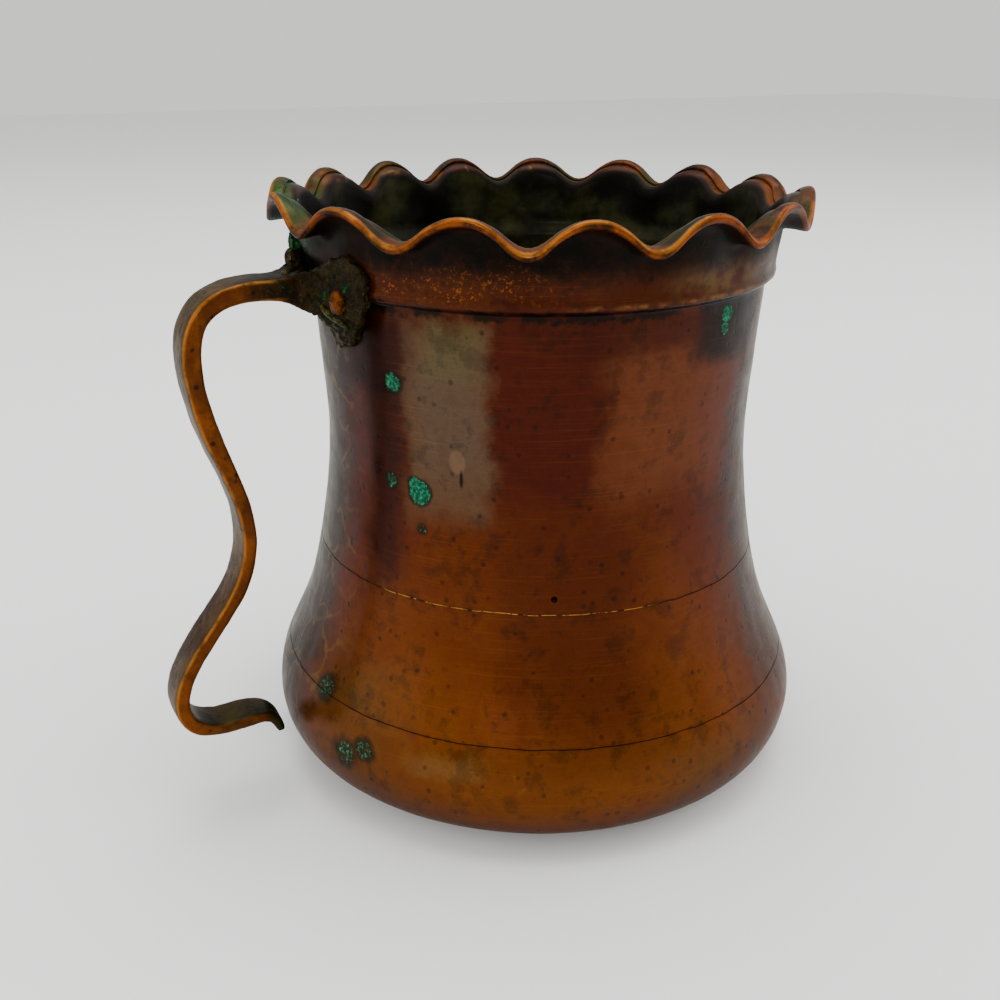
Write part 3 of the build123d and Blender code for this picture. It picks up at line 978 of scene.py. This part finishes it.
def crusted(name, dark, light, fleck, scale, metal, green):
    """Rough metal under grime and verdigris, for the rivets and the solder."""
    found = bpy.data.materials.get(name)
    if found:
        return found
    material, t, shader = new_material(name)
    where = place(t, mug_place(), Vector=t.put("TexCoord").outputs["Object"])
    point = where["Point"]
    wear = place(t, fine_wear(), Vector=point)
    mottle = mottled(t, point, scale, dark, light, fleck)
    mask = t.times(t.rise(t.noise(point, 0.35, 4.0, 0.6), 0.46, 0.66), green)
    crust = place(
        t, verdigris_crust(), Vector=point, Color=mottle, Mask=mask, Pale=srgb("3c7a4c"),
        Deep=srgb("14361f"), Rim=srgb("14140a"),
    )
    colour = t.over(crust["Color"], "120c06", wear["Pits"], 0.7)
    metallic = t.times(t.rest(crust["Mask"]), metal)
    rough = t.plus(0.42, t.times(crust["Mask"], 0.35))
    bumps = t.plus(wear["Height"], t.times(crust["Height"], 2.0))
    finish_surface(t, shader, colour, metallic, rough, bumps, 0.6)
    return material


# ------------------------------------------------------------------------------------- operators
class BuildPan(bpy.types.Operator):
    """Turn the dished pan: floor, heel and widest part, up to the lower seam"""

    bl_idname = "copper_mug.build_pan"
    bl_label = "Pan"

    def execute(self, context):
        sizes = settings().sizes
        outer, inner = wall_path()
        top = BASE_SEAM - sizes.seam_gap / MM / 2
        floor = [(r, 0.0) for r in np.arange(0.0, outer[0][0], 2.5)]
        lid = [(r, sizes.sheet / MM) for r in np.arange(0.0, inner[0][0], 2.5)]
        below = [(r, z) for r, z in cut_path(outer, high=top)]
        above = [(r, z) for r, z in cut_path(inner, high=top)]
        section = floor + below + above[::-1] + lid[::-1]
        pan = lathe("base_pan_shell", section, sizes.steps, closed=False)
        points = points_of(pan)
        height = points[:, 2] / MM
        points = hammer(points)
        points = lean(points, ease(height, 14.0, BASE_SEAM - 2.0))
        radius = np.hypot(points[:, 0], points[:, 1]) / MM
        flat = (height < 0.02) & (radius < 50.0)
        points[flat, 2] = 0.0
        points[:, 2] = np.maximum(points[:, 2], 0.0)
        set_points(pan, points)
        mark_inside(pan)
        shade(pan)
        settle(pan, "base_pan", copper_body())
        return {"FINISHED"}


def mark_inside(piece, hem=None, top=None, rub=None):
    """Stores where a shell faces its axis, and where it is hem, flange top or the hem's upper edge, worn bare with a
    painted highlight.
    """
    points = points_of(piece) / MM
    radius = np.hypot(points[:, 0], points[:, 1])
    outer, inner = wall_path()
    middle = (outer + inner) / 2
    wall = np.interp(points[:, 2], middle[:, 1], middle[:, 0])
    low = (points[:, 2] > 0.6) & (radius < 46.0)
    inside = ((radius < wall) & (points[:, 2] > 0.6) & (points[:, 2] < 126.0)) | low
    zero = np.zeros(len(points))
    store(piece, "inside", np.maximum(inside.astype(float), zero if top is None else top[1]))
    store(piece, "hem", zero if hem is None else hem)
    store(piece, "top", zero if top is None else top[0])
    store(piece, "rub", zero if rub is None else rub)


class BuildBelly(bpy.types.Operator):
    """Turn the belly band between the two seams"""

    bl_idname = "copper_mug.build_belly"
    bl_label = "Belly band"

    def execute(self, context):
        sizes = settings().sizes
        outer, inner = wall_path()
        half = sizes.seam_gap / MM / 2
        low, high = BASE_SEAM + half, WAIST_SEAM - half
        section = cut_path(outer, low, high) + cut_path(inner, low, high)[::-1]
        belly = lathe("belly_band_shell", section, sizes.steps)
        points = hammer(points_of(belly))
        points = lean(points, np.ones(len(points)))
        set_points(belly, points)
        mark_inside(belly)
        shade(belly)
        settle(belly, "belly_band", copper_body())
        return {"FINISHED"}


def flange_shape(points):
    """Gives the turned collar and flange their wave, their lean and the uneven edge of the hem."""
    sizes = settings().sizes
    rise = sizes.wave_rise / MM
    flute = sizes.flute / MM
    mm = points / MM
    for i, (x, y, z) in enumerate(mm):
        if z < 129.0:
            continue
        r = hypot(x, y)
        angle = degrees(atan2(y, x))
        wave = wave_at(angle)
        share = float(ease(z, 133.0, 143.2))
        fluted = float(ease(z, 129.5, 142.0)) * (1 - float(ease(r, 60.0, 65.0)))
        rim = float(ease(r, 60.5, FLANGE_RADIUS))
        wobble = noise.noise(Vector((cos(radians(angle)) * 3, sin(radians(angle)) * 3, 2.0)))
        out = flute * wave * fluted + rim * (wobble * 0.7 - 0.25)
        if 61.5 < r < 63.5 and z > 144.58:
            out += 0.55 * noise.noise(Vector((cos(radians(angle)) * 11, sin(radians(angle)) * 11, 5.0)))
        tilt = -0.0055 * (0.891 * x - 0.454 * y) - 0.30
        up = share * (rise * wave * (r / FLANGE_RADIUS) ** 3 + tilt + 0.25 * wobble * rim)
        scale = (r + out) / r
        mm[i] = (x * scale, y * scale, z + up)
    return mm * MM


class BuildUpperBody(bpy.types.Operator):
    """Turn the neck, joggle, collar and flange, then give the flange its wave and drill the pinhole"""

    bl_idname = "copper_mug.build_upper_body"
    bl_label = "Upper body"

    def execute(self, context):
        sizes = settings().sizes
        outer, inner = wall_path()
        low = WAIST_SEAM + sizes.seam_gap / MM / 2
        section = cut_path(outer, low) + list(RIM) + cut_path(inner, low)[::-1]
        upper = lathe("upper_body_shell", section, sizes.steps)
        points = points_of(upper)
        height = points[:, 2] / MM
        radius = np.hypot(points[:, 0], points[:, 1]) / MM
        hem = ease(radius, 64.9, 65.4) * ease(height, 143.4, 143.7)
        top = ease(height, 144.3, 144.5) * (1 - ease(radius, 65.2, 65.7))
        collar_inside = ((height > 126.0) & (height < 144.3) & (radius < 58.25) & (
            radius < np.interp(height, (126, 130, 133.5, 139.5, 144.5), (55.0, 57.3, 57.6, 58.2, 59.4))
        )).astype(float)
        # upper edge of the hem: worn bare, and where the painted highlight goes
        rub = ease(radius, 65.3, 65.7) * ease(height, 144.6, 145.0)
        rub = np.maximum(rub, ease(height, 145.35, 145.5) * ease(radius, 64.6, 65.2))
        points = hammer(points)
        points = lean(points, 1 - ease(height, WAIST_SEAM + 3.0, 82.0))
        points = flange_shape(points)
        points[:, 2] = np.minimum(points[:, 2], cad_high[2])
        set_points(upper, points)
        mark_inside(upper, hem, (top, collar_inside), rub)
        drill(upper)
        shade(upper, 50)
        settle(upper, "upper_body", copper_body())
        return {"FINISHED"}


def drill(piece):
    """Cuts the pinhole beside the waist seam through the wall."""
    centre = wall_point(*PINHOLE)
    bpy.ops.object.select_all(action="DESELECT")
    bpy.ops.mesh.primitive_cylinder_add(vertices=24, radius=PINHOLE_RADIUS * MM, depth=8 * MM)
    pin = bpy.context.object
    turn = Vector((0, 0, 1)).rotation_difference(Vector((centre.x, centre.y, 0)).normalized()).to_matrix().to_4x4()
    pin.data.transform(Matrix.Translation(centre * MM) @ turn)
    modify(piece, "BOOLEAN", operation="DIFFERENCE", object=pin, solver="EXACT")
    bpy.data.objects.remove(pin, do_unlink=True)


class BuildBrazing(bpy.types.Operator):
    """Lay the brazing metal in the two seams"""

    bl_idname = "copper_mug.build_brazing"
    bl_label = "Brazing"

    def execute(self, context):
        sizes = settings().sizes
        outer, inner = wall_path()
        half = sizes.seam_gap / MM / 2 + 0.03
        for name, node, middle in (
            ("waist_braze_line", "waist_seam_braze", WAIST_SEAM), ("base_braze_line", "base_seam_braze", BASE_SEAM),
        ):
            outside = float(np.interp(middle, outer[:, 1], outer[:, 0]))
            inside = float(np.interp(middle, inner[:, 1], inner[:, 0]))
            deep = inside + 0.12
            section = [
                (deep, middle - half), (outside - 0.2, middle - half), (outside - 0.02, middle - half * 0.6),
                (outside + 0.02, middle), (outside - 0.02, middle + half * 0.6), (outside - 0.2, middle + half),
                (deep, middle + half),
            ]
            ring = lathe(name, section, sizes.steps)
            points = points_of(ring)
            mm = points / MM
            for i, (x, y, z) in enumerate(mm):
                r = hypot(x, y)
                around = (degrees(atan2(y, x) + FRONT_TURN) + 180) % 360 - 180
                filed = float(ease(around, -46, -38) * (1 - ease(around, 24, 32))) if middle > 40 else 0.0
                sink = 0.05 - 0.2 * (1 - filed) + 0.07 * rough_at((x, y, z), 2.5, 5.0)
                if r > outside - 0.15:
                    points[i, 0] += sink * x / r * MM
                    points[i, 1] += sink * y / r * MM
            points = hammer(points)
            points = lean(points, np.ones(len(points)))
            set_points(ring, points)
            shade(ring)
            settle(ring, node, brass_braze())
        return {"FINISHED"}


def grid(columns, rows):
    """Flat grid with the given numbers of cells, and the column and row of each of its points."""
    bpy.ops.object.select_all(action="DESELECT")
    bpy.ops.mesh.primitive_grid_add(x_subdivisions=columns, y_subdivisions=rows, size=1.0)
    sheet = bpy.context.object
    points = points_of(sheet)
    column = np.rint((points[:, 0] + 0.5) * columns).astype(int)
    row = np.rint((points[:, 1] + 0.5) * rows).astype(int)
    return sheet, column, row


def strap_mesh():
    """Strap as a rounded bar along its stations, swept from a grid that is rolled up into a tube."""
    rings = 190
    corners = 28
    path = smooth_path([(-out, 0.0, rise, thick) for out, rise, thick in STRAP], rings)
    along = np.gradient(path[:, [0, 2]], axis=0)
    along /= np.linalg.norm(along, axis=1)[:, None]
    strap, column, row = grid(corners, rings - 1)
    placed = np.zeros((len(row), 3))
    for i, (c, k) in enumerate(zip(column % corners, row)):
        turn = 2 * pi * c / corners
        x, _, z, thick = path[k]
        tail = 1 - 0.35 * float(ease(k, rings - 16, rings - 1))
        half_wide = STRAP_WIDTH / 2 * tail * (1 + 0.02 * sin(k * 0.21) + 0.015 * sin(k * 0.083 + 1.0))
        across = half_wide * np.sign(cos(turn)) * abs(cos(turn)) ** STRAP_SQUARE
        through = thick / 2 * np.sign(sin(turn)) * abs(sin(turn)) ** STRAP_SQUARE
        crown = 1 + 0.05 * (1 - (across / half_wide) ** 2)
        normal = (-along[k][1], along[k][0])
        placed[i] = (x + normal[0] * through * crown, across, z + normal[1] * through * crown)
    set_points(strap, placed * MM)
    alone(strap)
    bpy.ops.object.mode_set(mode="EDIT")
    bpy.ops.mesh.select_all(action="SELECT")
    bpy.ops.mesh.remove_doubles(threshold=0.02 * MM)
    bpy.ops.mesh.select_all(action="DESELECT")
    bpy.ops.mesh.select_non_manifold()
    bpy.ops.mesh.fill_holes(sides=0)
    bpy.ops.mesh.select_all(action="SELECT")
    bpy.ops.mesh.normals_make_consistent(inside=False)
    bpy.ops.object.mode_set(mode="OBJECT")
    return strap


def wing_mesh(stations):
    """One wing of the root: a leaf that runs from the strap and spreads over the neck."""
    rows, columns = 48, 24
    path = smooth_path(stations, rows)
    leaf, column, row = grid(columns - 1, rows - 1)
    placed = np.zeros((len(row), 3))
    weights = np.zeros(len(row))
    for i, (c, k) in enumerate(zip(column, row)):
        x, y, low, high, thick = path[k]
        share = c / (columns - 1)
        placed[i] = (x, y, low + (high - low) * share)
        weights[i] = thick / WING_FULL
    set_points(leaf, placed * MM)
    band = leaf.vertex_groups.new(name="thickness")
    for i, weight in enumerate(weights):
        band.add([i], float(min(weight, 1.0)), "REPLACE")
    modify(leaf, "SOLIDIFY", thickness=WING_FULL * MM, offset=0.0, vertex_group="thickness", use_even_offset=False)
    return leaf


def join(pieces, name):
    bpy.ops.object.select_all(action="DESELECT")
    for piece in pieces:
        piece.select_set(True)
    bpy.context.view_layer.objects.active = pieces[0]
    if len(pieces) > 1:
        bpy.ops.object.join()
    whole = bpy.context.object
    whole.name = name
    whole.data.name = name
    return whole


def soften(piece, voxel, rounds):
    """Remeshes a piece into one skin and smooths it, as forging or melting does."""
    modify(piece, "REMESH", mode="VOXEL", voxel_size=voxel, use_smooth_shade=True)
    modify(piece, "SMOOTH", factor=0.5, iterations=rounds)


def roughen(piece, coarse, fine, seed):
    """Moves each vertex along its normal by coarse and fine noise, in mm."""
    points = points_of(piece)
    normals = normals_of(piece)
    for i, point in enumerate(points / MM):
        push = coarse * rough_at(point, 5.0, seed) + fine * rough_at(point, 1.4, seed + 2.0)
        points[i] += normals[i] * push * MM
    set_points(piece, points)


def keep_off_axis(points, radius, low, high):
    """Keeps a piece outside a cylinder about the axis between two heights, in mm."""
    mm = points / MM
    away = np.hypot(mm[:, 0], mm[:, 1])
    near = (away < radius) & (mm[:, 2] > low) & (mm[:, 2] < high)
    scale = np.where(near, radius / np.maximum(away, 1.0), 1.0)
    points[:, 0] *= scale
    points[:, 1] *= scale
    return points


class BuildHandle(bpy.types.Operator):
    """Forge the handle: strap and both wings in one skin, slightly hammered"""

    bl_idname = "copper_mug.build_handle"
    bl_label = "Handle"

    def execute(self, context):
        sizes = settings().sizes
        handle = join([strap_mesh(), wing_mesh(FRONT_WING), wing_mesh(BACK_WING)], "handle_strap")
        soften(handle, sizes.handle_voxel, 4)
        points = points_of(handle)
        mm = points / MM
        normals = normals_of(handle)
        across = np.abs(mm[:, 1])
        on_strap = ease(-mm[:, 0], 64.0, 70.0) + ease(40.0 - mm[:, 2], 0.0, 5.0)
        on_strap = np.clip(on_strap, 0, 1) * (across < 6.2)
        flat = 1 - ease(np.abs(normals[:, 1]), 0.35, 0.8)
        rub = ease(np.abs(normals[:, 1]), 0.22, 0.45) * (1 - ease(np.abs(normals[:, 1]), 0.75, 0.95))
        rub *= ease(across, 4.0, 4.9) * on_strap
        roughen(handle, 0.16, 0.05, 11.0)
        at_root = ease(64.0 + mm[:, 0], 0.0, 3.0) * ease(mm[:, 2], 112.0, 115.0)
        crumbs = np.array([0.8 * rough_at(spot, 2.4, 5.0) + 0.5 * rough_at(spot, 1.1, 9.0) for spot in mm])
        set_points(handle, points_of(handle) + normals * (crumbs * at_root * MM)[:, None])
        points = keep_off_axis(points_of(handle), 55.2, 110.0, 127.0)
        points[:, 0] = np.maximum(points[:, 0], cad_low[0])
        set_points(handle, points)
        store(handle, "flat", flat)
        store(handle, "rub", rub)
        shade(handle, 60)
        settle(handle, "handle", forged_copper())
        return {"FINISHED"}


class BuildRivets(bpy.types.Operator):
    """Set the two rivets through the wings and the neck"""

    bl_idname = "copper_mug.build_rivets"
    bl_label = "Rivets"

    def execute(self, context):
        finish = settings().finish
        material = crusted("rivet_crust", "24170c", tuple(finish.strap), "5e5a34", 0.3, 0.45, 0.55)
        for number, (name, (node, swing, height)) in enumerate(RIVETS.items()):
            rivet = lathe(name, RIVET, 40, closed=False)
            alone(rivet)
            modify(rivet, "SUBSURF", levels=1, render_levels=1)
            angle = radians(180 + swing)
            outward = Vector((cos(angle), sin(angle), 0))
            turn = Vector((0, 0, 1)).rotation_difference(outward).to_matrix().to_4x4()
            rivet.data.transform(Matrix.Translation((0, 0, height * MM)) @ turn)
            points = points_of(rivet)
            mm = points / MM
            for i, point in enumerate(mm):
                points[i] += np.array(outward) * 0.28 * rough_at(point, 1.9, 4.0 + number) * MM
                points[i, 2] += 0.16 * rough_at(point, 2.4, 8.0 + number) * MM
            set_points(rivet, points)
            face_outward(rivet)
            shade(rivet, 50)
            settle(rivet, node, material)
        return {"FINISHED"}


def node_copy(node, name):
    """Copy of a CAD node with its loose triangles merged."""
    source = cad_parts[node]
    piece = bpy.data.objects.new(name, source.data.copy())
    piece.data.name = name
    bpy.context.scene.collection.objects.link(piece)
    face_outward(piece, merge=0.002 * MM)
    return piece


def solder_run(stations):
    """Bead of solder along a line, as a curve with a round bevel made into a mesh."""
    line = bpy.data.curves.new("run", "CURVE")
    line.dimensions = "3D"
    line.bevel_depth = MM
    line.bevel_resolution = 4
    line.use_fill_caps = True
    spline = line.splines.new("NURBS")
    spline.points.add(len(stations) - 1)
    for point, (x, y, z, radius) in zip(spline.points, stations):
        point.co = (x * MM, y * MM, z * MM, 1.0)
        point.radius = radius
    spline.order_u = 3
    spline.use_endpoint_u = True
    run = bpy.data.objects.new("run", line)
    bpy.context.scene.collection.objects.link(run)
    alone(run)
    bpy.ops.object.convert(target="MESH")
    return bpy.context.object


def solder_drop(x, y, z, radius):
    bpy.ops.object.select_all(action="DESELECT")
    bpy.ops.mesh.primitive_ico_sphere_add(subdivisions=3, radius=radius * MM)
    drop = bpy.context.object
    drop.data.transform(Matrix.Translation((x * MM, y * MM, z * MM)) @ Matrix.Diagonal((1.0, 1.1, 0.7, 1.0)))
    return drop


class BuildSolder(bpy.types.Operator):
    """Run the solder behind the wings, with the beads that squeezed out"""

    bl_idname = "copper_mug.build_solder"
    bl_label = "Solder"

    def execute(self, context):
        sizes = settings().sizes
        finish = settings().finish
        material = crusted("solder_crust", "26240f", tuple(finish.solder), "a8a070", 0.28, 0.15, 0.7)
        for name, node, extras in (
            ("solder_front", "wing_solder_front", True), ("solder_back", "wing_solder_back", False),
        ):
            parts = [node_copy(node, name)]
            if extras:
                parts.append(solder_run(SOLDER_RIDGE))
                parts += [solder_drop(*drop) for drop in SOLDER_DROPS]
            solder = join(parts, name)
            soften(solder, sizes.solder_voxel, 2)
            roughen(solder, 0.35, 0.28, 21.0)
            shade(solder, 70)
            settle(solder, node, material)
        return {"FINISHED"}


# soft lights: name, place, width, watts
CARDS = (
    ("left_card", (-1.1, 0.15, 0.55), 1.0, 5.0), ("right_card", (1.05, -0.25, 0.6), 1.0, 6.5),
    ("top_card", (0.1, 0.2, 1.4), 1.2, 18.0), ("front_card", (-0.62, -0.78, 0.62), 0.22, 3.2),
)
CAMERA_PLACE = (-0.1432, -0.2604, 0.1807)
CAMERA_TURN = (68.53, 0.0, -27.0)  # degrees
CAMERA_LENS = 42.71


class BuildStage(bpy.types.Operator):
    """Set the pale floor, the soft lights and the camera"""

    bl_idname = "copper_mug.build_stage"
    bl_label = "Stage"

    def execute(self, context):
        bpy.ops.object.select_all(action="DESELECT")
        bpy.ops.mesh.primitive_plane_add(size=6.0, location=(0, 0, 0))
        floor = bpy.context.object
        floor.name = "floor"
        material, t, shader = new_material("pale_floor")
        grain = t.noise(t.put("TexCoord").outputs["Object"], 14.0, 3.0)
        pale = t.mix(t.times(grain, 0.2), (0.9, 0.9, 0.9), (0.84, 0.84, 0.83))
        t.feed(shader.inputs["Base Color"], pale)
        shader.inputs["Roughness"].default_value = 0.8
        shader.inputs["Specular IOR Level"].default_value = 0.1
        floor.data.materials.append(material)

        world = bpy.data.worlds.new("studio")
        context.scene.world = world
        world.use_nodes = True
        world.node_tree.nodes["Background"].inputs["Color"].default_value = (1.0, 0.99, 0.97, 1.0)
        world.node_tree.nodes["Background"].inputs["Strength"].default_value = 0.95
        for name, spot, size, power in CARDS:
            light = bpy.data.lights.new(name, "AREA")
            light.energy = power
            light.size = size
            lamp = bpy.data.objects.new(name, light)
            lamp.location = spot
            aim = Vector((0, 0, 0.075)) - Vector(spot)
            lamp.rotation_euler = aim.to_track_quat("-Z", "Y").to_euler()
            context.scene.collection.objects.link(lamp)

        lens = bpy.data.cameras.new("camera")
        lens.lens = CAMERA_LENS
        lens.sensor_width = 36.0
        lens.shift_y = 0.003
        lens.clip_start = 0.01
        camera = bpy.data.objects.new("camera", lens)
        camera.location = CAMERA_PLACE
        camera.rotation_euler = [radians(turn) for turn in CAMERA_TURN]
        context.scene.collection.objects.link(camera)
        context.scene.camera = camera
        return {"FINISHED"}


class MugPanel(bpy.types.Panel):
    """Builds the mug piece by piece"""

    bl_idname = "VIEW3D_PT_copper_mug"
    bl_label = "Copper mug"
    bl_space_type = "VIEW_3D"
    bl_region_type = "UI"
    bl_category = "Copper mug"

    def draw(self, context):
        for part in (settings().sizes, settings().finish):
            for key in part.__annotations__:
                self.layout.prop(part, key)
        for operator in OPERATORS:
            self.layout.operator(operator.bl_idname)


OPERATORS = (
    BuildPan, BuildBelly, BuildUpperBody, BuildBrazing, BuildHandle, BuildRivets, BuildSolder, BuildStage,
)
CLASSES = (MugSizes, MugFinish, MugSettings) + OPERATORS + (MugPanel,)


def register():
    for item in CLASSES:
        bpy.utils.register_class(item)
    bpy.types.Scene.copper_mug = PointerProperty(type=MugSettings)


def unregister():
    del bpy.types.Scene.copper_mug
    for item in reversed(CLASSES):
        bpy.utils.unregister_class(item)


def main():
    register()
    for operator in OPERATORS:
        package, name = operator.bl_idname.split(".")
        getattr(getattr(bpy.ops, package), name)()


if __name__ == "__main__":
    main()
